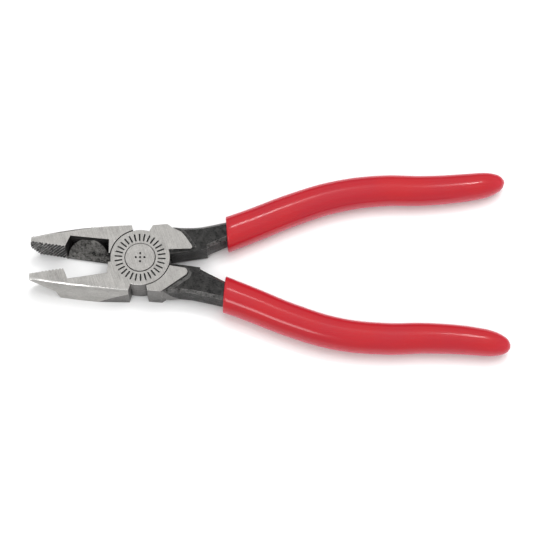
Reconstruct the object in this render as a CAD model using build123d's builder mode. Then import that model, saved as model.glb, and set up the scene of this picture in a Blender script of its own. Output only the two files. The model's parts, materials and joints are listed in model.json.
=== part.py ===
from build123d import *
from math import cos, radians, sin
import os

# Lineman pliers, lying flat with the jaws a little open.
# Frame: origin on the pivot axis, in the plane of the lower faces; +Z is the pivot axis,
# the jaws point to -X and the handles to +X. Lengths are millimetres.
#
# The head is a lap joint. Each lever carries a disc of half the head's thickness that turns in a
# round recess of the other lever, and one rivet passes through both. Outlines are given for closed
# jaws, as (distance along the tool, distance from the mating plane), and each lever is built on a
# plane that is turned about the pivot by half of the opening.

# Head
head_thickness = 12.0
disc_radius = 11.6
disc_edge = 0.15           # chamfer on the outer face of each disc
seam_edge = 0.3            # chamfer where the two discs meet
lap_gap = 0.16             # between the two discs, along the pivot axis
recess_gap = 0.3           # round each disc
rest_half_angle = 8.6      # each lever's turn from closed, degrees

# Rivet
rivet_radius = 4.2
rivet_head_radius = 5.75
rivet_sink = 2.2           # depth of each countersink
rivet_stand = 0.15         # how far the upper head stands above the disc
rivet_fit = 0.05           # running clearance in the upper disc
rivet_rim = 0.3            # broken edge of the hole in the upper disc
punch_radius = 0.45        # staking marks on the upper head
punch_spread = 1.7
punch_count = 4            # round the mark in the middle

# Jaws
jaw_length = 43.8
jaw_middle = 21.0          # where the middle width is taken
nose_back = 1.7            # where the nose width is taken, back from the end
nose_round = 1.3           # rounded corner at the end of the nose
nose_turn = (0.3, 0.35)    # shares of it where the corner's arc is half-way round
nose_break = (0.8, 0.25)   # the nose's inner corner is broken: along the jaw, and across it
nose_bulge = 0.5           # the end is convex, seen from the side
mate_gap = 0.06            # each mating face, back from the closed plane
side_lean = 1.3            # how much wider the ground sides are at the bottom
bevel_depth = 0.28         # bevel round the top face
bevel_widths = (0.1, 0.45, 0.8)
forged_width = 14.4        # forged side wall, at the pivot
forged_narrowing = 0.17    # its narrowing per unit of length

# Ramp ground under each nose: (back from the end of the nose, from the mating plane, height)
ramp_foot = (2.8, 0.0, 0.0)
ramp_crest = (0.0, 3.07, head_thickness)
ramp_stop = (9.2, 4.15, 0.0)
step_foot = (10.7, 6.85, 0.0)
step_top = (9.2, 5.92, 5.2)

# Knurled gripping faces
knurl_pitch = 1.36         # along the jaw
knurl_angle = 60.0         # from the length of the jaw
crossing_back = 11.1       # grooves of the other hand start this far back from the end

# Side cutters
edge_height = 1.2          # height of the cutting edge
cutter_middle = 21.0
cutter_radius = 8.3        # half-moon of the ground bevel
cutter_rise = 8.5          # how far the bevel climbs to the back wall of its pocket
back_bevel = 0.6           # small bevel under the cutting edge

# Necks, and the bare tangs inside the grips
neck_thickness = 9.6
neck_draft = 5.0           # degrees, from the parting line of the forging
neck_corner = 1.1
pad_gap = 0.2              # flat pads of the two necks, each back from the closed plane
pad_width = 2.5
root_height = 0.6          # forged slope at the foot of each shoulder
root_width = 1.5
root_taper = 60.0
tang_width = 7.8
tang_thickness = 8.2
tang_corner = 1.4
tang_taper = 0.32          # share of its section that is lost towards the end
tang_end = 134.0

# Ring of plain stamped strokes on the upper disc
stroke_count = 30
stroke_inset = (1.15, 1.6)  # clear of the rivet head, and of the edge of the disc
stroke_width = 0.62
stroke_depth = 0.22

# Grips
grip_front_turn = 5.0      # the dip line leans by this angle, degrees
grip_rim_round = 0.7
handle_start = 26.0
handle_end = 147.4
handle_droop = 0.0068      # fall per unit of length, so that the grips lie on the ground too
# (distance along the tool, width, height)
grip_sections = (
    (29, 14.2, 11.8), (47, 13.45, 11.45), (66, 13.1, 11.15), (88, 12.75, 10.85), (110, 12.3, 10.55),
    (124, 11.7, 10.2), (134, 11.0, 9.7), (140, 10.0, 8.9), (143.6, 8.0, 7.2), (145.8, 5.6, 5.0),
    (147.1, 2.8, 2.5))

top = head_thickness
middle = head_thickness / 2
jaw_nose = jaw_length - nose_back
stroke_inner, stroke_outer = rivet_head_radius + stroke_inset[0], disc_radius - stroke_inset[1]

# The two levers differ a little, as hand-ground forgings do. The side is the jaw's side.
lower_jaw = {
    "side": -1,
    "disc": (middle + lap_gap / 2, top),
    "recess": (-1.0, middle + lap_gap / 2),
    "widths": (14.35, 9.3, 3.0),
    "rear": ((5.26, 10.73), (6.48, 12.77)),
    "pocket": ((30.1, 0), (28.9, 4.7), (13.6, 4.5), (12.5, 0)),
    "knurl_depth": 0.45,
    "shoulder": (
        (0, 1.8), (5.28, 10.83), (6.69, 12.81), (12.39, 12.39), (13.78, 10.86), (17.34, 8.3), (19.09, 5.2),
        (20.1, 2.95), (20.65, 1.7), (20.6, 1.15), (20.2, 0.8), (19.6, 0.72), (12, 1.75)),
    "pad_end": 26.3,
    "neck": (
        (0, 0.3), (4.6, 9.3), (12.0, 12.0), (15.0, 11.9), (17.2, 11.3), (22.0, 10.5), (25.3, 10.3),
        (31.9, 10.7), (38.0, 11.1), (38.6, 4.3), (34.0, 2.8), (27.4, 0.9), (26.3, 0.3)),
    "grip_front": 34.3,
    "grip_trim": 0.0,      # how much shorter this handle was dipped
    "handle": (5.1, 5.9, 9.4, 13.8, 16.9, 16.85, 14.4, 13.3, 13.5),
}
upper_jaw = {
    "side": 1,
    "disc": (0.0, middle - lap_gap / 2),
    "recess": (middle - lap_gap / 2, top + 1.0),
    "widths": (13.85, 9.7, 2.62),
    "rear": ((4.69, 10.92), (5.74, 13.19)),
    "pocket": ((29.8, 0), (28.5, 5.0), (13.3, 5.7), (12.4, 0)),
    "knurl_depth": 0.55,
    "shoulder": (
        (0, 1.44), (4.18, 10.9), (5.13, 13.18), (10.34, 12.85), (18.96, 4.31), (19.2, 3.27),
        (18.84, 2.21), (17.96, 1.73)),
    "pad_end": 23.6,
    "neck": (
        (0, 0.3), (3.6, 9.3), (10.3, 12.7), (13.4, 12.5), (17.6, 11.6), (21.5, 11.35), (25.7, 11.6),
        (31.9, 12.1), (38.0, 12.6), (38.6, 5.6), (33.0, 3.6), (28.8, 2.1), (26.2, 1.2), (24.0, 0.3)),
    "grip_front": 33.6,
    "grip_trim": 0.7,
    "handle": (5.9, 7.0, 10.6, 14.9, 17.65, 16.9, 14.1, 12.65, 12.9),
}
# Where the centre lines of the handles take the distances above
handle_stations = (handle_start, 30, 45, 62, 80, 98, 115, 132, handle_end)


def lever_plane(lever, height=0.0):
    """Level plane that turns with the lever, -X along its jaw."""
    return Plane.XY.rotated((0, 0, -lever["side"] * rest_half_angle)).offset(height)


def place(lever, along, across, height=0.0):
    """A point of the jaw: along from the pivot, across from the mating plane."""
    return lever_plane(lever).from_local_coords(Vector(-along, lever["side"] * across, height))


def direction(lever, along, across):
    return place(lever, along, across) - place(lever, 0, 0)


def along_plane(lever):
    """Upright plane through the pivot: x runs along the jaw and y is the height."""
    return Plane(origin=(0, 0, 0), x_dir=direction(lever, 1, 0), z_dir=direction(lever, 0, lever["side"]))


def cross_plane(lever, along):
    """Upright plane across the jaw: x is the distance from the mating plane and y the height."""
    across = direction(lever, 0, 1)
    return Plane(origin=place(lever, along, 0), x_dir=across, z_dir=across.cross(Vector(0, 0, 1)))


def jaw_points(lever, points):
    return [(-along, lever["side"] * across) for along, across in points]


def handle_points(lever, points):
    """Points of the handle, in the same turning sense for both levers."""
    return [(along, -lever["side"] * across) for along, across in points][::lever["side"]]


def jaw_section(lever, height, lean, insets):
    """Outline of the ground jaw from the pivot to the nose, at one height."""
    root, waist, nose = (width + lean - inset for width, inset in zip(lever["widths"], insets))
    turn_back, turn_in = (share * nose_round for share in nose_turn)
    break_back, break_in = nose_break
    start, bulge, corner, turn, end, tip, lip, heel = jaw_points(lever, (
        (0, root), (jaw_middle, waist), (jaw_nose, nose), (jaw_length - turn_back, nose - turn_in),
        (jaw_length, nose - nose_round), (jaw_length, mate_gap + break_in),
        (jaw_length - break_back, mate_gap), (0, mate_gap)))
    with BuildSketch(lever_plane(lever, height)) as section:
        with BuildLine():
            ThreePointArc(start, bulge, corner)
            ThreePointArc(corner, turn, end)
            Polyline(end, tip, lip, heel, start)
        make_face()
    return section.sketch


def ramp_cutter(lever):
    """Everything below the ramp under the nose, as far back as the step where it stops."""
    foot, crest, stop, low, high = (
        place(lever, jaw_length - back, across, height)
        for back, across, height in (ramp_foot, ramp_crest, ramp_stop, step_foot, step_top))
    outward = (stop - foot).cross(crest - foot) * -lever["side"]
    forward = (low - stop).cross(high - stop) * -lever["side"]
    with BuildPart() as cutter:
        with BuildSketch(Plane(origin=foot, x_dir=stop - foot, z_dir=outward)):
            Rectangle(4 * jaw_length, 4 * jaw_length)
        extrude(amount=jaw_length)
        split(bisect_by=Plane(origin=stop, z_dir=forward), keep=Keep.TOP)
    return cutter.part


def cutting_edge(lever):
    """Half-moon bevel that runs down to the cutting edge, inside the pocket."""
    depth = max(across for along, across in lever["pocket"])
    crest = edge_height + cutter_rise
    with BuildPart() as edge:
        with BuildSketch(cross_plane(lever, cutter_middle)):
            Polygon(
                (mate_gap, 0.5 * edge_height), (mate_gap, edge_height), (depth, crest),
                (depth + 1, crest), (depth + 1, 0.5 * edge_height), align=None)
        extrude(amount=cutter_radius, both=True)
        with BuildSketch(along_plane(lever)):
            with Locations((cutter_middle, edge_height)):
                Circle(cutter_radius)
        extrude(amount=2 * disc_radius, both=True, mode=Mode.INTERSECT)
    return edge.part


def knurl_grooves(lever, first, lean):
    """Parallel V grooves across the gripping face. The first leaves the bottom edge at first, and
    going up they lean towards the nose for a lean of 1, or the pivot for -1."""
    reach, rise = cos(radians(knurl_angle)), sin(radians(knurl_angle))
    groove = direction(lever, lean * reach, 0) + Vector(0, 0, rise)
    step = direction(lever, rise, 0) - Vector(0, 0, lean * reach)
    count = 1 + int((jaw_length + top * reach / rise - first) / knurl_pitch)
    side = (lever["knurl_depth"] + mate_gap) * 2 ** 0.5
    with BuildPart() as grooves:
        with BuildSketch(Plane(origin=place(lever, first, 0), x_dir=step, z_dir=groove)):
            with GridLocations(knurl_pitch * rise, 1, count, 1, align=(Align.MIN, Align.CENTER)):
                Rectangle(side, side, rotation=45)
        extrude(amount=2 * top, both=True)
    return grooves.part


def handle_line(lever):
    """Centre line of the handle, from inside the neck to the end of the grip."""
    across = dict(zip(handle_stations, lever["handle"]))
    with BuildLine(lever_plane(lever)) as route:
        Spline(*(
            (along, -lever["side"] * across[along], middle - handle_droop * (along - handle_start))
            for along in handle_stations))
    return route.edge()


def handle_section(route, along):
    """Plane across the handle: x is up and y is level."""
    share = (along - handle_start) / (handle_end - handle_start)
    return Plane(origin=route @ share, x_dir=(0, 0, 1), z_dir=route % share)


def tang(lever):
    """Black forging from the head into the grip: the neck, then the tapering bare tang."""
    route = handle_line(lever)
    start = lever["grip_front"] - 1
    with BuildPart() as tail:
        for share in (0.0, 0.25, 0.5, 0.75, 1.0):
            height, width, corner = (
                size * (1 - tang_taper * share) for size in (tang_thickness, tang_width, tang_corner))
            with BuildSketch(handle_section(route, start + share * (tang_end - start))):
                RectangleRounded(height, width, corner)
        loft()
    with BuildPart() as bar:
        with BuildSketch(lever_plane(lever, middle)):
            Polygon(*handle_points(lever, lever["neck"]), align=None)
        extrude(amount=neck_thickness / 2 - neck_corner, taper=neck_draft)
        extrude(bar.faces().sort_by(Axis.Z)[-1], amount=neck_corner, taper=45)
        with BuildSketch(lever_plane(lever, middle)):
            Polygon(*handle_points(lever, (
                (0, pad_gap), (lever["pad_end"], pad_gap), (lever["pad_end"], pad_width),
                (0, pad_width))), align=None)
        extrude(amount=neck_thickness / 2)
        mirror(about=Plane.XY.offset(middle))
        add(tail.part)
    return bar.part


def shoulder_body(lever):
    """Raised flats beside the disc, with the forged slope at their foot."""
    neck_top = middle + neck_thickness / 2
    with BuildPart() as root:
        with BuildSketch(lever_plane(lever, neck_top)):
            Polygon(*handle_points(lever, lever["shoulder"]), align=None)
            offset(amount=root_width, kind=Kind.INTERSECTION)
        extrude(amount=root_height, taper=root_taper)
        mirror(about=Plane.XY.offset(middle))
        with BuildSketch(lever_plane(lever)):
            Polygon(*handle_points(lever, lever["neck"]), align=None)
            offset(amount=-neck_corner, kind=Kind.INTERSECTION)
        extrude(amount=top, mode=Mode.INTERSECT)
    with BuildPart() as shoulder:
        with BuildSketch(lever_plane(lever)):
            Polygon(*handle_points(lever, lever["shoulder"]), align=None)
        extrude(amount=top)
        add(root.part)
    return shoulder.part


def rivet_body(gap=0.0, rim=0.0):
    """The rivet, or with a gap the hole that it runs in, whose upper edge is broken by the rim."""
    shank, head = rivet_radius + gap, rivet_head_radius + gap
    with BuildPart() as pin:
        with BuildSketch(Plane.XZ):
            Polygon(
                (0, 0), (head, 0), (shank, rivet_sink), (shank, top - rivet_sink), (head, top - rim),
                (head + rim, top), (head + rim, top + rivet_stand), (0, top + rivet_stand), align=None)
        revolve(axis=Axis.Z)
    return pin.part


def disc_body(lever):
    """The lever's half of the lap joint."""
    low, high = lever["disc"]
    rims = (seam_edge, disc_edge) if low > 0 else (disc_edge, seam_edge)
    with BuildPart() as disc:
        with BuildSketch(lever_plane(lever, low)):
            Circle(disc_radius)
        extrude(amount=high - low)
        for end, rim in zip((0, -1), rims):
            chamfer(disc.faces().sort_by(Axis.Z)[end].edges(), rim)
    return disc.part


def forge(lever, handle, hole):
    """One forging: ground jaw, cutter pocket, knurling, shoulder, tang and half of the lap joint."""
    level = lever_plane(lever)
    pocket, (rear_inner, rear_outer) = lever["pocket"], lever["rear"]
    beyond, jaw_bottom = 1.5 * jaw_length, jaw_length - nose_bulge
    low, high = lever["recess"]
    with BuildPart() as body:
        for height, spread, insets in (
                (0, side_lean, (0, 0, 0)), (top - bevel_depth, 0, (0, 0, 0)), (top, 0, bevel_widths)):
            add(jaw_section(lever, height, spread, insets))
        loft(ruled=True)
        with BuildSketch(level):
            Polygon(*jaw_points(lever, (
                (0, mate_gap), (beyond, mate_gap), (beyond, forged_width - forged_narrowing * beyond),
                (rear_outer[0], forged_width - forged_narrowing * rear_outer[0]), rear_inner)), align=None)
        extrude(amount=2 * top, both=True, mode=Mode.INTERSECT)
        with BuildSketch(along_plane(lever)):
            with BuildLine():
                ThreePointArc((jaw_bottom, 0), (jaw_length, middle), (jaw_bottom, top))
                Polyline((jaw_bottom, top), (-disc_radius, top), (-disc_radius, 0), (jaw_bottom, 0))
            make_face()
        extrude(amount=4 * disc_radius, both=True, mode=Mode.INTERSECT)
        add(ramp_cutter(lever), mode=Mode.SUBTRACT)
        with BuildSketch(lever_plane(lever, edge_height)):
            Polygon(*jaw_points(lever, ((pocket[0][0], -1), *pocket, (pocket[-1][0], -1))), align=None)
        extrude(amount=2 * top, mode=Mode.SUBTRACT)
        add(cutting_edge(lever))
        with BuildSketch(cross_plane(lever, cutter_middle)):
            Polygon((0, -back_bevel), (back_bevel + mate_gap, 0), (0, back_bevel), align=None)
        extrude(amount=cutter_radius, both=True, mode=Mode.SUBTRACT)
        add(knurl_grooves(lever, pocket[0][0] + knurl_pitch / 2, -1), mode=Mode.SUBTRACT)
        add(knurl_grooves(lever, jaw_length - crossing_back, 1), mode=Mode.SUBTRACT)
        add(shoulder_body(lever))
        add(handle)
        with BuildSketch(Plane.XY.offset(low)):
            Circle(disc_radius + recess_gap)
        extrude(amount=high - low, mode=Mode.SUBTRACT)
        add(disc_body(lever))
        add(hole, mode=Mode.SUBTRACT)
    return body.part


def dip(lever, handle):
    """Vinyl grip: one oval sleeve with a closed, rounded end, moulded round the tang."""
    route = handle_line(lever)
    turn = radians(grip_front_turn)
    front = direction(lever, -cos(turn), sin(turn))
    with BuildPart() as sleeve:
        for along, width, height in grip_sections:
            with BuildSketch(handle_section(route, along - lever["grip_trim"] * along / handle_end)):
                Ellipse(height / 2, width / 2)
        loft()
        split(bisect_by=Plane(origin=place(lever, -lever["grip_front"], 0), z_dir=front), keep=Keep.TOP)
        fillet(sleeve.faces().sort_by(Axis.X)[0].edges(), grip_rim_round)
        add(handle, mode=Mode.SUBTRACT)
    return sleeve.part


lower_jaw_tang = tang(lower_jaw)
upper_jaw_tang = tang(upper_jaw)

# Lever with the lower jaw: it carries the upper disc, with the stamped ring, and turns on the rivet
with BuildPart() as lower_jaw_lever:
    add(forge(lower_jaw, lower_jaw_tang, rivet_body(rivet_fit, rivet_rim)))
    with BuildSketch(lever_plane(lower_jaw, top)):
        with PolarLocations((stroke_inner + stroke_outer) / 2, stroke_count):
            SlotOverall(stroke_outer - stroke_inner, stroke_width)
    extrude(amount=-stroke_depth, mode=Mode.SUBTRACT)
lower_jaw_lever.part.label = "lower_jaw_lever"

# Lever with the upper jaw: it carries the lower disc, in which the rivet is staked
with BuildPart() as upper_jaw_lever:
    add(forge(upper_jaw, upper_jaw_tang, rivet_body()))
upper_jaw_lever.part.label = "upper_jaw_lever"

# Pivot rivet, with staking marks in its upper head
with BuildPart() as pivot_rivet:
    add(rivet_body())
    with BuildSketch(Plane.XY.offset(top + rivet_stand)):
        Circle(punch_radius)
        with PolarLocations(punch_spread, punch_count):
            Circle(punch_radius)
    extrude(amount=-punch_radius / 2, taper=30, mode=Mode.SUBTRACT)
pivot_rivet.part.label = "pivot_rivet"

# Dipped grips, named after the jaw at the other end of their lever
with BuildPart() as lower_jaw_grip:
    add(dip(lower_jaw, lower_jaw_tang))
lower_jaw_grip.part.label = "lower_jaw_grip"

with BuildPart() as upper_jaw_grip:
    add(dip(upper_jaw, upper_jaw_tang))
upper_jaw_grip.part.label = "upper_jaw_grip"

os.makedirs("parts", exist_ok=True)
for piece in (lower_jaw_lever, upper_jaw_lever, pivot_rivet, lower_jaw_grip, upper_jaw_grip):
    export_step(piece.part, f"parts/{piece.part.label}.step")
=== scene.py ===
import bpy, bmesh, json, math
from mathutils import Matrix, Vector


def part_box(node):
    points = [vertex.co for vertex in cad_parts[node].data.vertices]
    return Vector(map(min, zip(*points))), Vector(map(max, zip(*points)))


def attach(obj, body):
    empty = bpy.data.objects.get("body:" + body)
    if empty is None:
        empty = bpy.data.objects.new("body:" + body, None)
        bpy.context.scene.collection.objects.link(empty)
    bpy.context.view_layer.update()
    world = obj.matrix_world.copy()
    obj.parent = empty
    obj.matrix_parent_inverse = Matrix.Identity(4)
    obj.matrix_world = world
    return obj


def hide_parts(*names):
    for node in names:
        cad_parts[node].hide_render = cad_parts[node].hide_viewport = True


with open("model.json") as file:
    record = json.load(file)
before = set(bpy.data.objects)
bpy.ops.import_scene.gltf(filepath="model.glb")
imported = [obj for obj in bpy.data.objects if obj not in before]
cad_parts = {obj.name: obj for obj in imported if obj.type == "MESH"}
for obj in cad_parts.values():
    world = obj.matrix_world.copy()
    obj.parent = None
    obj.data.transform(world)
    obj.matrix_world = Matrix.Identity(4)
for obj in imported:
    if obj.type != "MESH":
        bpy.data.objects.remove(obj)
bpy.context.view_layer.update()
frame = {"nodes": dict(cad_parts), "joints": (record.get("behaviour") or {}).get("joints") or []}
mm = 0.001

# each lever is turned this much from closed jaws, and "side" says which side its jaw is on
halfOpen = math.radians(-frame["joints"][0]["range_deg"][0] / 2)
levers = {
    "lower": {"node": "lower_jaw_lever", "grip": "lower_jaw_grip", "body": "lower_jaw_half", "side": -1},
    "upper": {"node": "upper_jaw_lever", "grip": "upper_jaw_grip", "body": "upper_jaw_half", "side": 1},
}
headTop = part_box("lower_jaw_lever")[1].z
print("frame loaded, head is", round(headTop / mm, 2), "mm thick")


def closedFrame(lever):
    # turns a lever back to closed jaws: x along the tool, y positive on the side of its jaw
    turn = Matrix.Rotation(lever["side"] * halfOpen, 4, "Z")
    return Matrix.Diagonal((1, lever["side"], 1, 1)) @ turn


# node groups and small helpers for the materials
def newGroup(name, inputs, outputs):
    group = bpy.data.node_groups.new(name, "ShaderNodeTree")
    for label, kind, value in inputs:
        socket = group.interface.new_socket(name=label, in_out="INPUT", socket_type=kind)
        if value is not None:
            socket.default_value = value
    for label, kind in outputs:
        group.interface.new_socket(name=label, in_out="OUTPUT", socket_type=kind)
    return group, group.nodes.new("NodeGroupInput"), group.nodes.new("NodeGroupOutput")


def addNode(tree, kind, links=None, **settings):
    node = tree.nodes.new(kind)
    for key, value in settings.items():
        setattr(node, key, value)
    for socket, source in (links or {}).items():
        if hasattr(source, "is_output"):
            tree.links.new(source, node.inputs[socket])
        else:
            node.inputs[socket].default_value = source
    return node


def maths(tree, operation, a, b=0.0, clamp=False):
    return addNode(tree, "ShaderNodeMath", {0: a, 1: b}, operation=operation, use_clamp=clamp).outputs[0]


def spread(tree, value, low, high, toLow=0.0, toHigh=1.0):
    links = {"Value": value, "From Min": low, "From Max": high, "To Min": toLow, "To Max": toHigh}
    return addNode(tree, "ShaderNodeMapRange", links).outputs["Result"]


def mixed(tree, factor, a, b, blend="MIX"):
    node = addNode(tree, "ShaderNodeMix", data_type="RGBA", blend_type=blend)
    for index, source in ((0, factor), (6, a), (7, b)):
        if hasattr(source, "is_output"):
            tree.links.new(source, node.inputs[index])
        else:
            node.inputs[index].default_value = source
    return node.outputs[2]


def edgeWearAndHighlightGroup():
    # 1 where the surface turns over an edge within Width, used for edge wear and painted edge highlights
    group, inside, outside = newGroup(
        "edgeWearAndHighlight", [("Width", "NodeSocketFloat", 0.0003), ("Breakup", "NodeSocketFloat", 900.0)],
        [("Mask", "NodeSocketFloat")])
    rounded = addNode(group, "ShaderNodeBevel", {"Radius": inside.outputs["Width"]}, samples=6)
    flat = addNode(group, "ShaderNodeNewGeometry")
    dot = addNode(group, "ShaderNodeVectorMath", {0: rounded.outputs[0], 1: flat.outputs["Normal"]},
                  operation="DOT_PRODUCT")
    turned = spread(group, dot.outputs["Value"], 0.995, 0.9)
    coords = addNode(group, "ShaderNodeTexCoord")
    chips = addNode(group, "ShaderNodeTexNoise",
                    {"Vector": coords.outputs["Object"], "Scale": inside.outputs["Breakup"], "Detail": 3.0})
    kept = maths(group, "MULTIPLY", turned, spread(group, chips.outputs["Fac"], 0.35, 0.6))
    group.links.new(kept, outside.inputs["Mask"])
    return group


def grindGroup():
    # fine parallel grinding marks along X of the vector, with broad cloudy variation
    group, inside, outside = newGroup(
        "grindMarks",
        [("Vector", "NodeSocketVector", None), ("Along", "NodeSocketFloat", 160.0),
         ("Across", "NodeSocketFloat", 5200.0), ("Cloud", "NodeSocketFloat", 170.0)],
        [("Marks", "NodeSocketFloat"), ("Cloud", "NodeSocketFloat"), ("Grit", "NodeSocketFloat")])
    parts = addNode(group, "ShaderNodeSeparateXYZ", {0: inside.outputs["Vector"]})
    stretched = addNode(group, "ShaderNodeCombineXYZ", {
        0: maths(group, "MULTIPLY", parts.outputs[0], inside.outputs["Along"]),
        1: maths(group, "MULTIPLY", parts.outputs[1], inside.outputs["Across"]),
        2: maths(group, "MULTIPLY", parts.outputs[2], inside.outputs["Across"])})
    lines = addNode(group, "ShaderNodeTexNoise",
                    {"Vector": stretched.outputs[0], "Scale": 1.0, "Detail": 4.0, "Roughness": 0.65})
    cloud = addNode(group, "ShaderNodeTexNoise", {"Vector": inside.outputs["Vector"],
                                                  "Scale": inside.outputs["Cloud"], "Detail": 5.0,
                                                  "Roughness": 0.6})
    grit = addNode(group, "ShaderNodeTexNoise", {"Vector": inside.outputs["Vector"], "Scale": 2600.0,
                                                 "Detail": 2.0})
    group.links.new(lines.outputs["Fac"], outside.inputs["Marks"])
    group.links.new(cloud.outputs["Fac"], outside.inputs["Cloud"])
    group.links.new(grit.outputs["Fac"], outside.inputs["Grit"])
    return group


def pitGroup():
    # scattered shallow pits and scale of a forged surface
    group, inside, outside = newGroup(
        "forgedPits", [("Vector", "NodeSocketVector", None), ("Scale", "NodeSocketFloat", 1200.0)],
        [("Height", "NodeSocketFloat"), ("Pits", "NodeSocketFloat")])
    cells = addNode(group, "ShaderNodeTexVoronoi",
                    {"Vector": inside.outputs["Vector"], "Scale": inside.outputs["Scale"],
                     "Randomness": 1.0})
    pits = spread(group, cells.outputs["Distance"], 0.12, 0.42)
    coarser = maths(group, "MULTIPLY", inside.outputs["Scale"], 0.45)
    rough = addNode(group, "ShaderNodeTexNoise",
                    {"Vector": inside.outputs["Vector"], "Scale": coarser, "Detail": 6.0, "Roughness": 0.7})
    height = maths(group, "ADD", maths(group, "MULTIPLY", pits, 0.18),
                   maths(group, "MULTIPLY", rough.outputs["Fac"], 1.15))
    group.links.new(height, outside.inputs["Height"])
    group.links.new(pits, outside.inputs["Pits"])
    return group


def creviceGroup():
    # 1 in open places, falling to 0 in corners and narrow gaps; the colour mixed by it paints shade into
    # them
    group, inside, outside = newGroup(
        "crevice", [("Reach", "NodeSocketFloat", 0.001)], [("Open", "NodeSocketFloat")])
    shade = addNode(group, "ShaderNodeAmbientOcclusion", {"Distance": inside.outputs["Reach"]}, samples=8)
    group.links.new(spread(group, shade.outputs["AO"], 0.25, 0.85), outside.inputs["Open"])
    return group


groups = {"wearAndHighlight": edgeWearAndHighlightGroup(), "grind": grindGroup(), "pits": pitGroup(), "crevice": creviceGroup()}


def newMaterial(name):
    material = bpy.data.materials.new(name)
    material.use_nodes = True
    tree = material.node_tree
    return material, tree, tree.nodes["Principled BSDF"]


def useGroup(tree, key, links=None):
    node = addNode(tree, "ShaderNodeGroup", node_tree=groups[key])
    for socket, source in (links or {}).items():
        if hasattr(source, "is_output"):
            tree.links.new(source, node.inputs[socket])
        else:
            node.inputs[socket].default_value = source
    return node.outputs


def turnedCoords(tree, angle):
    coords = addNode(tree, "ShaderNodeTexCoord")
    return addNode(tree, "ShaderNodeMapping",
                   {"Vector": coords.outputs["Object"], "Rotation": (0, 0, angle)}).outputs[0]


# bright steel finishes: one factor scales the colour low down (painted light, lighter low on the ground
# sides), another from the noses to the shoulders (painted shade, darker at the shoulders), and a dark
# colour is painted as shade into corners and narrow gaps
steelLook = {
    "polishedTop": {"dark": (0.27, 0.262, 0.25, 1), "light": (0.61, 0.595, 0.572, 1),
                    "shadeAndPrint": (0.1, 0.095, 0.09, 1), "rough": (0.36, 0.5), "angle": 1.25, "bump": 0.14,
                    "foot": 1.0, "paintedRunShade": (1.06, 0.88)},
    "groundSide": {"dark": (0.2, 0.195, 0.185, 1), "light": (0.42, 0.41, 0.395, 1),
                   "shadeAndPrint": (0.08, 0.08, 0.075, 1), "rough": (0.34, 0.5), "angle": 0.0, "bump": 0.22,
                   "foot": 1.45, "paintedRunShade": (1.0, 1.0)},
    "forgedSide": {"dark": (0.1, 0.097, 0.094, 1), "light": (0.27, 0.262, 0.255, 1),
                   "shadeAndPrint": (0.03, 0.03, 0.03, 1), "rough": (0.4, 0.58), "angle": 0.3, "bump": 0.4,
                   "foot": 1.0, "paintedRunShade": (1.0, 1.0)},
    "edgeStrip": {"dark": (0.6, 0.59, 0.57, 1), "light": (0.8, 0.785, 0.765, 1),
                  "shadeAndPrint": (0.1, 0.1, 0.1, 1), "rough": (0.16, 0.26), "angle": 0.0, "bump": 0.1,
                  "foot": 1.0, "paintedRunShade": (1.0, 1.0)},
}
# edge colour on bright steel: partly wear, partly a painted highlight along the edges
steelWearAndHighlight = {"colour": (0.8, 0.79, 0.77, 1), "amount": 0.55, "width": 0.22 * mm, "corner": 0.7 * mm,
             "edge": 0.18 * mm, "relief": 0.1 * mm, "noses": -43 * mm, "shoulders": 20 * mm}
toneMix = {"marks": 0.4, "cloud": 0.35, "grit": 0.25, "low": 0.36, "high": 0.64}


def steel(name):
    look = steelLook[name]
    material, tree, surface = newMaterial(name)
    vector = turnedCoords(tree, look["angle"])
    grind = useGroup(tree, "grind", {"Vector": vector})
    wearAndHighlight = useGroup(tree, "wearAndHighlight", {"Width": steelWearAndHighlight["width"]})
    openness = useGroup(tree, "crevice", {"Reach": steelWearAndHighlight["corner"]})
    blend = maths(tree, "ADD", maths(tree, "MULTIPLY", grind["Marks"], toneMix["marks"]),
                  maths(tree, "MULTIPLY", grind["Cloud"], toneMix["cloud"]))
    blend = maths(tree, "ADD", blend, maths(tree, "MULTIPLY", grind["Grit"], toneMix["grit"]))
    tone = spread(tree, blend, toneMix["low"], toneMix["high"])
    colour = mixed(tree, tone, look["dark"], look["light"])
    height = addNode(tree, "ShaderNodeSeparateXYZ", {0: vector}).outputs[2]
    # painted light and shade: lighter low down on the ground sides, darker towards the shoulders on the top
    # flats
    lift = spread(tree, height, headTop, 0.0, 1.0, look["foot"])
    unturned = addNode(tree, "ShaderNodeTexCoord").outputs["Object"]
    place = addNode(tree, "ShaderNodeSeparateXYZ", {0: unturned})
    paintedRunShade = spread(tree, place.outputs[0], steelWearAndHighlight["noses"], steelWearAndHighlight["shoulders"], *look["paintedRunShade"])
    lift = maths(tree, "MULTIPLY", lift, paintedRunShade)
    colour = addNode(tree, "ShaderNodeVectorMath", {0: colour, 3: lift}, operation="SCALE").outputs[0]
    # painted shade: the colour turns dark towards corners and narrow gaps
    colour = mixed(tree, openness["Open"], look["shadeAndPrint"], colour)
    # painted highlight along the edges, partly wear: a lighter colour where the surface turns over
    wornAndHighlight = maths(tree, "MULTIPLY", wearAndHighlight["Mask"], steelWearAndHighlight["amount"])
    colour = mixed(tree, wornAndHighlight, colour, steelWearAndHighlight["colour"])
    tree.links.new(colour, surface.inputs["Base Color"])
    surface.inputs["Metallic"].default_value = 1.0
    tree.links.new(spread(tree, grind["Cloud"], 0.3, 0.7, *look["rough"]), surface.inputs["Roughness"])
    soft = addNode(tree, "ShaderNodeBevel", {"Radius": steelWearAndHighlight["edge"]}, samples=6)
    relief = maths(tree, "ADD", grind["Marks"], maths(tree, "MULTIPLY", grind["Grit"], 0.7))
    bump = addNode(tree, "ShaderNodeBump", {"Strength": look["bump"], "Distance": steelWearAndHighlight["relief"],
                                            "Height": relief, "Normal": soft.outputs[0]})
    tree.links.new(bump.outputs[0], surface.inputs["Normal"])
    return material


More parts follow.
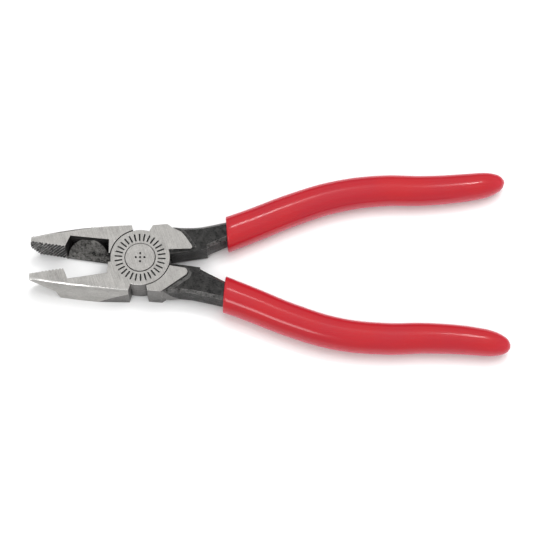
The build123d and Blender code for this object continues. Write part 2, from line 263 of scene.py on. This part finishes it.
# dark finishes, oxide or scale
darkLook = {
    "blackOxide": {"dark": (0.005, 0.005, 0.005, 1), "light": (0.04, 0.039, 0.0375, 1),
                   "wornAndHighlight": (0.3, 0.29, 0.28, 1), "rough": (0.34, 0.58), "scale": 1100.0, "bump": 0.9,
                   "metal": 0.6},
    "cutterBevel": {"dark": (0.01, 0.01, 0.009, 1), "light": (0.4, 0.39, 0.375, 1),
                    "wornAndHighlight": (0.3, 0.29, 0.28, 1), "rough": (0.35, 0.6), "scale": 1250.0, "bump": 1.0,
                    "metal": 0.9},
    # near-black walls: dark forged scale, also used as painted shade in the seam round the disc and in the
    # pocket corners
    "pocketWall": {"dark": (0.004, 0.004, 0.004, 1), "light": (0.02, 0.019, 0.019, 1),
                   "wornAndHighlight": (0.16, 0.155, 0.15, 1), "rough": (0.5, 0.7), "scale": 1200.0, "bump": 0.4,
                   "metal": 0.6},
    # knurl: the near-white worn colour on the crests is partly wear, partly painted highlight
    "knurlFace": {"dark": (0.003, 0.003, 0.003, 1), "light": (0.035, 0.034, 0.033, 1),
                  "wornAndHighlight": (1.0, 0.98, 0.96, 1), "rough": (0.32, 0.5), "scale": 1700.0, "bump": 0.2,
                  "metal": 0.8},
    "strokeFill": {"dark": (0.006, 0.006, 0.006, 1), "light": (0.02, 0.02, 0.02, 1),
                   "wornAndHighlight": (0.03, 0.03, 0.03, 1), "rough": (0.5, 0.7), "scale": 1500.0, "bump": 0.2,
                   "metal": 0.3},
    # neck chamfers: the lighter colour and worn patches are painted highlights, partly wear of the oxide
    "neckEdge": {"dark": (0.008, 0.008, 0.008, 1), "light": (0.15, 0.147, 0.143, 1),
                 "wornAndHighlight": (0.4, 0.39, 0.38, 1), "rough": (0.25, 0.45), "scale": 800.0, "bump": 0.7,
                 "metal": 0.8},
}
# edge colour on dark steel: partly wear of the oxide, partly painted highlights along the edges
darkWearAndHighlight = {"amount": 0.7, "width": 0.3 * mm, "breakup": 700.0, "corner": 0.9 * mm, "edge": 0.3 * mm,
            "relief": 0.3 * mm, "low": 0.52, "high": 0.88}


def darkSteel(name):
    look = darkLook[name]
    material, tree, surface = newMaterial(name)
    vector = turnedCoords(tree, 0.0)
    pits = useGroup(tree, "pits", {"Vector": vector, "Scale": look["scale"]})
    grind = useGroup(tree, "grind", {"Vector": vector})
    wearAndHighlight = useGroup(tree, "wearAndHighlight", {"Width": darkWearAndHighlight["width"], "Breakup": darkWearAndHighlight["breakup"]})
    openness = useGroup(tree, "crevice", {"Reach": darkWearAndHighlight["corner"]})
    tone = spread(tree, pits["Height"], darkWearAndHighlight["low"], darkWearAndHighlight["high"])
    colour = mixed(tree, tone, look["dark"], look["light"])
    # painted shade: the colour turns to the dark tone towards corners and narrow gaps
    colour = mixed(tree, openness["Open"], look["dark"], colour)
    # painted highlight along the edges, partly wear of the oxide: the worn colour where the surface turns
    # over
    wornAndHighlight = maths(tree, "MULTIPLY", wearAndHighlight["Mask"], darkWearAndHighlight["amount"])
    colour = mixed(tree, wornAndHighlight, colour, look["wornAndHighlight"])
    tree.links.new(colour, surface.inputs["Base Color"])
    surface.inputs["Metallic"].default_value = look["metal"]
    tree.links.new(spread(tree, grind["Cloud"], 0.3, 0.7, *look["rough"]), surface.inputs["Roughness"])
    soft = addNode(tree, "ShaderNodeBevel", {"Radius": darkWearAndHighlight["edge"]}, samples=6)
    bump = addNode(tree, "ShaderNodeBump", {"Strength": look["bump"], "Distance": darkWearAndHighlight["relief"],
                                            "Height": pits["Height"], "Normal": soft.outputs[0]})
    tree.links.new(bump.outputs[0], surface.inputs["Normal"])
    return material


finishes = {name: steel(name) for name in steelLook}
finishes.update({name: darkSteel(name) for name in darkLook})
print("steel finishes made")

# forgings: a merged copy of each lever, its faces sorted by how each place is finished, some slots also
# carrying painted shade or painted highlights
forging = {
    "topBand": 0.35 * mm,      # faces this near the top or bottom count as ground flats
    "neckStart": 9.5 * mm,     # the black neck begins past this on the handle side
    "pocketFar": 30.6 * mm,
    "pocketNear": 11.7 * mm,
    "pocketDepth": 6.2 * mm,
    "ringInner": 6.4 * mm, "ringOuter": 10.4 * mm, "ringDepth": 0.3 * mm,
    "seamInner": 11.2 * mm, "seamOuter": 12.1 * mm,
    "groundLine": ((19.5, 0, 0), (11.5, 0, 10.2)), "heelDepth": 9.6 * mm, "cornerBand": 2.6 * mm,
    "sharp": math.radians(24),
}
slotOrder = ["polishedTop", "groundSide", "forgedSide", "blackOxide", "cutterBevel", "pocketWall",
             "knurlFace", "strokeFill", "edgeStrip", "neckEdge"]


def finishOf(centre, normal):
    along, across = -centre.x, centre.y
    radius = math.hypot(centre.x, centre.y)
    depth = headTop - centre.z
    nearFace = depth < forging["topBand"] or centre.z < forging["topBand"]
    outward = (normal.x * centre.x + normal.y * centre.y) / max(radius, mm)
    if forging["ringInner"] < radius < forging["ringOuter"] and 0.01 * mm < depth < forging["ringDepth"]:
        return "strokeFill"
    # the recess wall of the seam round the disc is painted near black as shade in the gap
    if forging["seamInner"] < radius < forging["seamOuter"] and outward < -0.5:
        return "pocketWall"
    if along > 0 and across > 2 * mm and depth < forging["topBand"] and 0.3 < normal.z < 0.97:
        return "edgeStrip"
    if nearFace and abs(normal.z) > (0.3 if depth < centre.z else 0.97):
        return "polishedTop"
    if along < -forging["neckStart"]:
        low, high = forging["groundLine"]
        ends = (low[0] + (high[0] - low[0]) * centre.z / mm / high[2]) * mm
        ground = abs(normal.z) < 0.35 and centre.x < ends and across < -forging["heelDepth"]
        # chamfer faces on the neck get the lighter neckEdge colour: painted highlights, partly wear
        rounded = 0.5 < abs(normal.z) < 0.9 and min(depth, centre.z) < forging["cornerBand"]
        return "forgedSide" if ground else "neckEdge" if rounded else "blackOxide"
    if along > forging["pocketNear"]:
        if along > forging["pocketFar"] - 0.4 * mm and normal.y < -0.25 and across < 1.2 * mm:
            return "knurlFace"
        # pocket walls: dark forged scale, with painted shade in the pocket corners
        if across < forging["pocketDepth"] and along < forging["pocketFar"] and normal.y < 0.3:
            return "cutterBevel" if normal.z > 0.3 and normal.y < -0.3 else "pocketWall"
    if normal.y > 0.3 and along > 0:
        return "groundSide" if abs(normal.z) > 0.03 else "forgedSide"
    return "forgedSide" if along < forging["pocketNear"] else "groundSide"


def splitGroundWall(bm, toClosed):
    # cuts the outer wall of the neck where the grinding of the shoulder runs out on it
    low, high = (Vector(spot) * mm for spot in forging["groundLine"])
    normal = Vector((high.z - low.z, 0, low.x - high.x)).normalized()
    toRest = toClosed.inverted()
    walls = [f for f in bm.faces if (toClosed @ f.calc_center_median()).y < -forging["heelDepth"]]
    edges = {e for f in walls for e in f.edges}
    verts = {v for e in edges for v in e.verts}
    geom = sorted(verts, key=lambda v: v.index) + sorted(edges, key=lambda e: e.index) + walls
    bmesh.ops.bisect_plane(bm, geom=geom, dist=0.0001 * mm,
                           plane_co=toRest @ low, plane_no=toRest.to_3x3() @ normal)


def makeForging(key):
    lever = levers[key]
    toClosed = closedFrame(lever)
    mesh = bpy.data.meshes.new(key + "Forging")
    bm = bmesh.new()
    bm.from_mesh(frame["nodes"][lever["node"]].data)
    bmesh.ops.remove_doubles(bm, verts=bm.verts, dist=0.002 * mm)
    bm.verts.index_update()
    bm.edges.index_update()
    splitGroundWall(bm, toClosed)
    bm.normal_update()
    for face in bm.faces:
        centre = toClosed @ face.calc_center_median()
        normal = toClosed.to_3x3() @ face.normal
        face.material_index = slotOrder.index(finishOf(centre, normal))
        face.smooth = True
    for edge in bm.edges:
        edge.smooth = len(edge.link_faces) == 2 and edge.calc_face_angle(0) < forging["sharp"]
    bm.to_mesh(mesh)
    bm.free()
    piece = bpy.data.objects.new(key + "Forging", mesh)
    bpy.context.scene.collection.objects.link(piece)
    for name in slotOrder:
        mesh.materials.append(finishes[name])
    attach(piece, lever["body"])
    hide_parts(lever["node"])
    print(piece.name, len(mesh.polygons), "faces")
    return piece


for key in levers:
    makeForging(key)

# rivet: the marks in its upper head are dark print, and the foot of its rim is painted dark as shade in the
# gap around it
rivetLook = {"shade": 0.02 * mm, "undarkened": 0.09 * mm, "low": 8.0 * mm, "lowBlend": 0.1 * mm,
             "marksEnd": 3 * mm, "rimStart": 4 * mm,
             "marks": (0.02, 0.02, 0.02, 1), "rim": (0.13, 0.127, 0.12, 1)}


def rivetSteel():
    material = finishes["polishedTop"].copy()
    material.name = "rivetSteel"
    tree = material.node_tree
    surface = tree.nodes["Principled BSDF"]
    source = surface.inputs["Base Color"].links[0].from_socket
    spot = addNode(tree, "ShaderNodeTexCoord").outputs["Object"]
    height = addNode(tree, "ShaderNodeSeparateXYZ", {0: spot})
    level = addNode(tree, "ShaderNodeVectorMath", {0: spot, 1: (1, 1, 0)}, operation="MULTIPLY").outputs[0]
    radius = addNode(tree, "ShaderNodeVectorMath", {0: level}, operation="LENGTH").outputs["Value"]
    towardsRim = spread(tree, radius, rivetLook["marksEnd"], rivetLook["rimStart"])
    shadeAndPrint = mixed(tree, towardsRim, rivetLook["marks"], rivetLook["rim"])
    # painted shade at the foot of the rim; the dark marks near the centre are print
    fromRim = spread(tree, height.outputs[2], headTop + rivetLook["shade"], headTop + rivetLook["undarkened"])
    below = spread(tree, height.outputs[2], rivetLook["low"], rivetLook["low"] - rivetLook["lowBlend"])
    undarkened = maths(tree, "MAXIMUM", fromRim, below)
    tree.links.new(mixed(tree, undarkened, shadeAndPrint, source), surface.inputs["Base Color"])
    return material


rivetNode = frame["nodes"]["pivot_rivet"]
rivetNode.data.materials.clear()
rivetNode.data.materials.append(rivetSteel())
print("rivet dressed")

# grips: one dipped vinyl sleeve on each handle
gripShape = {
    "stations": (26, 30, 45, 62, 80, 98, 115, 132, 147.4),
    "lower": {"line": (5.1, 5.9, 9.4, 13.8, 16.9, 16.85, 14.4, 13.3, 13.5), "front": 34.3, "trim": 0.0},
    "upper": {"line": (5.9, 7.0, 10.6, 14.9, 17.65, 16.9, 14.1, 12.65, 12.9), "front": 33.6, "trim": 0.7},
    "droop": 0.0068,
    "along": (29, 47, 66, 88, 110, 124, 134, 140, 143.6, 145.8, 147.1),
    "width": (14.2, 13.45, 13.1, 12.75, 12.3, 11.7, 11.0, 10.0, 8.0, 5.6, 2.0),
    "height": (11.8, 11.45, 11.15, 10.85, 10.55, 10.2, 9.7, 8.9, 7.2, 5.0, 1.8),
    "segments": 64, "square": 2.2, "rings": 64,
    "dipLean": math.radians(5), "dipReach": 9.0, "lip": 0.6, "lipTurns": 4, "mouth": 3.3, "skin": 0.09,
    "tip": 2.4, "tipShares": (0.2, 0.4, 0.6, 0.75, 0.88, 0.96, 1.0),
}
vinylLook = {
    "base": (0.415, 0.0085, 0.014, 1), "deep": (0.38, 0.0085, 0.018, 1), "rough": (0.14, 0.19),
    # painted reflection of the floor: the grips turn lighter and pinker low down
    "foot": (0.52, 0.03, 0.052, 1), "footTop": 9.4 * mm, "footLow": 3.6 * mm,    # lighter low down
    "specular": 0.4, "sheen": 0.3, "sheenTint": (1.0, 0.3, 0.6, 1), "sheenRough": 0.35,
    "cloudScale": 60.0, "fineScale": 1800.0, "cloudRelief": 0.5, "fineRelief": 0.06,
    "bump": 0.25, "relief": 0.4 * mm,
}


def vinyl():
    look = vinylLook
    material, tree, surface = newMaterial("redVinyl")
    vector = turnedCoords(tree, 0.0)
    cloud = addNode(tree, "ShaderNodeTexNoise",
                    {"Vector": vector, "Scale": look["cloudScale"], "Detail": 3.0})
    fine = addNode(tree, "ShaderNodeTexNoise",
                   {"Vector": vector, "Scale": look["fineScale"], "Detail": 2.0})
    colour = mixed(tree, spread(tree, cloud.outputs["Fac"], 0.35, 0.65), look["deep"], look["base"])
    height = addNode(tree, "ShaderNodeSeparateXYZ", {0: vector}).outputs[2]
    # painted floor reflection: lighter, pinker colour low down on the grips
    foot = spread(tree, height, look["footTop"], look["footLow"])
    colour = mixed(tree, foot, colour, look["foot"])
    tree.links.new(colour, surface.inputs["Base Color"])
    tree.links.new(spread(tree, fine.outputs["Fac"], 0.3, 0.7, *look["rough"]), surface.inputs["Roughness"])
    surface.inputs["Specular IOR Level"].default_value = look["specular"]
    surface.inputs["Sheen Weight"].default_value = look["sheen"]
    surface.inputs["Sheen Tint"].default_value = look["sheenTint"]
    surface.inputs["Sheen Roughness"].default_value = look["sheenRough"]
    relief = maths(tree, "ADD", maths(tree, "MULTIPLY", cloud.outputs["Fac"], look["cloudRelief"]),
                   maths(tree, "MULTIPLY", fine.outputs["Fac"], look["fineRelief"]))
    bump = addNode(tree, "ShaderNodeBump", {"Strength": look["bump"], "Distance": look["relief"],
                                            "Height": relief})
    tree.links.new(bump.outputs[0], surface.inputs["Normal"])
    return material


redVinyl = vinyl()


def smoothLine(points):
    # closely spaced points of a smooth curve through the given ones
    curve = bpy.data.curves.new("reading", "CURVE")
    curve.dimensions = "3D"
    curve.resolution_u = 24
    spline = curve.splines.new("BEZIER")
    spline.bezier_points.add(len(points) - 1)
    for knot, point in zip(spline.bezier_points, points):
        knot.co = point
        knot.handle_left_type = knot.handle_right_type = "AUTO"
    holder = bpy.data.objects.new("reading", curve)
    bpy.context.scene.collection.objects.link(holder)
    bpy.context.view_layer.update()
    mesh = bpy.data.meshes.new_from_object(holder)
    dense = [v.co.copy() for v in mesh.vertices]
    bpy.data.objects.remove(holder)
    bpy.data.curves.remove(curve)
    bpy.data.meshes.remove(mesh)
    return dense


def readAt(dense, x):
    for a, b in zip(dense, dense[1:]):
        if a.x <= x <= b.x:
            share = (x - a.x) / (b.x - a.x)
            return a.lerp(b, share), (b - a).normalized()
    return dense[-1], (dense[-1] - dense[-2]).normalized()


def makeGrip(key):
    lever, shape = levers[key], gripShape[key]
    toRest = closedFrame(lever).inverted()
    stations = gripShape["stations"]
    shorter = 1 - shape["trim"] / stations[-1]
    line = smoothLine([Vector((s * mm, -c * mm, headTop / 2 - gripShape["droop"] * (s - stations[0]) * mm))
                       for s, c in zip(stations, shape["line"])])
    sizes = smoothLine([Vector((s * shorter * mm, w * mm, h * mm))
                        for s, w, h in zip(gripShape["along"], gripShape["width"], gripShape["height"])])
    front, end = shape["front"] * mm, gripShape["along"][-1] * shorter * mm
    lean = gripShape["dipLean"]
    dipNormal = Vector((math.cos(lean), math.sin(lean), 0))
    skin = gripShape["skin"] * mm
    bm = bmesh.new()
    ring = bmesh.ops.create_circle(bm, cap_ends=False, radius=1.0, segments=gripShape["segments"])["verts"]
    power = 2 / gripShape["square"]
    unit = [tuple(math.copysign(abs(c) ** power, c) for c in v.co[:2]) for v in ring]

    def placeRing(verts, x, inset=0.0):
        spot, along = readAt(line, x)
        size = readAt(sizes, x)[0]
        across = Vector((0, 0, 1)).cross(along).normalized()
        up = along.cross(across)
        near = max(0.0, 1 - (x - front) / (gripShape["dipReach"] * mm))
        for v, (u, w) in zip(verts, unit):
            point = spot + across * u * (size.y / 2 - skin - inset) + up * w * (size.z / 2 - skin - inset)
            offPlane = dipNormal.dot(point - Vector((front, 0, 0))) - (x - front)
            v.co = point - along * offPlane * near * near

    def nextRing(verts):
        held = set(verts)
        edges = [e for e in bm.edges if e.verts[0] in held and e.verts[1] in held]
        made = bmesh.ops.extrude_edge_only(bm, edges=edges)["geom"]
        order = {tuple(round(c, 9) for c in g.co): g for g in made if isinstance(g, bmesh.types.BMVert)}
        return [order[tuple(round(c, 9) for c in v.co)] for v in verts]

    lip = gripShape["lip"] * mm
    placeRing(ring, front, gripShape["mouth"] * mm)
    for turn in range(gripShape["lipTurns"] + 1):
        ring = nextRing(ring)
        angle = math.radians(90) * turn / gripShape["lipTurns"]
        placeRing(ring, front + lip * (1 - math.cos(angle)), lip * (1 - math.sin(angle)))
    body = end - gripShape["tip"] * mm
    pitch = (body - front - lip) / gripShape["rings"]
    steps = [front + lip + pitch * (turn + 1) for turn in range(gripShape["rings"])]
    steps += [body + (end - body) * share for share in gripShape["tipShares"]]
    for x in steps:
        ring = nextRing(ring)
        placeRing(ring, x)
    bmesh.ops.contextual_create(bm, geom=ring)
    bmesh.ops.recalc_face_normals(bm, faces=bm.faces)
    for face in bm.faces:
        face.smooth = True
    bm.transform(toRest)
    if toRest.determinant() < 0:
        bmesh.ops.reverse_faces(bm, faces=bm.faces)
    mesh = bpy.data.meshes.new(key + "Grip")
    bm.to_mesh(mesh)
    bm.free()
    mesh.materials.append(redVinyl)
    piece = bpy.data.objects.new(key + "Grip", mesh)
    bpy.context.scene.collection.objects.link(piece)
    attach(piece, lever["body"])
    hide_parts(lever["grip"])
    print(piece.name, len(mesh.polygons), "faces")


for key in levers:
    makeGrip(key)

# floor, light and camera
stage = {"floorSize": 3.0, "floorColour": (0.9, 0.9, 0.9, 1), "world": 0.81,
         "backEdge": 0.15, "lowFade": (0.45, 0.2), "backFade": (0.2, 0.6)}

floorMesh = bpy.data.meshes.new("floor")
bm = bmesh.new()
bmesh.ops.create_grid(bm, x_segments=1, y_segments=1, size=stage["floorSize"] / 2)
bm.to_mesh(floorMesh)
bm.free()
floor = bpy.data.objects.new("floor", floorMesh)
bpy.context.scene.collection.objects.link(floor)
floorMaterial, _, floorSurface = newMaterial("floorPaper")
floorSurface.inputs["Base Color"].default_value = stage["floorColour"]
floorSurface.inputs["Roughness"].default_value = 0.9
floorSurface.inputs["Specular IOR Level"].default_value = 0.1
floorMesh.materials.append(floorMaterial)

# a bright room that is darker low down behind the tool
world = bpy.data.worlds.new("studio")
bpy.context.scene.world = world
world.use_nodes = True
room = world.node_tree
direction = addNode(room, "ShaderNodeTexCoord").outputs["Generated"]
towards = addNode(room, "ShaderNodeSeparateXYZ", {0: direction})
low = spread(room, towards.outputs[2], *stage["lowFade"])
behind = spread(room, towards.outputs[1], *stage["backFade"])
strength = spread(room, maths(room, "MULTIPLY", low, behind), 0.0, 1.0, stage["world"], stage["backEdge"])
room.nodes["Background"].inputs["Color"].default_value = (1, 1, 1, 1)
room.links.new(strength, room.nodes["Background"].inputs["Strength"])

# the key lamp is not seen in reflections
lights = {
    "key": {"at": (0.3, 0.3, 1.1), "to": (0.05, 0, 0), "size": (1.0, 1.0), "power": 9.0,
            "mirrored": False},
    "front": {"at": (-0.36, -0.54, 1.0), "to": (0.0, 0, 0), "size": (0.4, 0.26), "power": 2.2,
              "mirrored": True},
    "highlight": {"at": (0.04, 0.5, 1.0), "to": (0.05, 0, 0), "size": (0.1, 0.03), "power": 0.5,
                  "mirrored": True},
    "tips": {"at": (0.34, 0.4, 1.0), "to": (0.13, 0, 0), "size": (0.07, 0.04), "power": 0.7,
             "mirrored": True},
}
for name, light in lights.items():
    data = bpy.data.lights.new(name, "AREA")
    data.shape = "RECTANGLE"
    data.size, data.size_y = light["size"]
    data.energy = light["power"]
    lamp = bpy.data.objects.new(name, data)
    lamp.visible_glossy = light["mirrored"]
    bpy.context.scene.collection.objects.link(lamp)
    lamp.location = light["at"]
    aim = Vector(light["to"]) - Vector(light["at"])
    lamp.rotation_euler = aim.to_track_quat("-Z", "Y").to_euler()

view = {"target": (49.66 * mm, -4.54 * mm, 12 * mm), "distance": 0.8, "tilt": math.radians(22.7),
        "width": 207.591 * mm, "sensor": 36.0, "clipStart": 0.05}    # width seen at the target
cameraData = bpy.data.cameras.new("camera")
cameraData.sensor_width = view["sensor"]
cameraData.lens = view["sensor"] * view["distance"] / view["width"]
cameraData.clip_start = view["clipStart"]
camera = bpy.data.objects.new("camera", cameraData)
bpy.context.scene.collection.objects.link(camera)
tilt = view["tilt"]
camera.location = Vector(view["target"]) + view["distance"] * Vector((0, -math.sin(tilt), math.cos(tilt)))
camera.rotation_euler = (tilt, 0, 0)
bpy.context.scene.camera = camera
bpy.context.scene.view_settings.view_transform = "Standard"
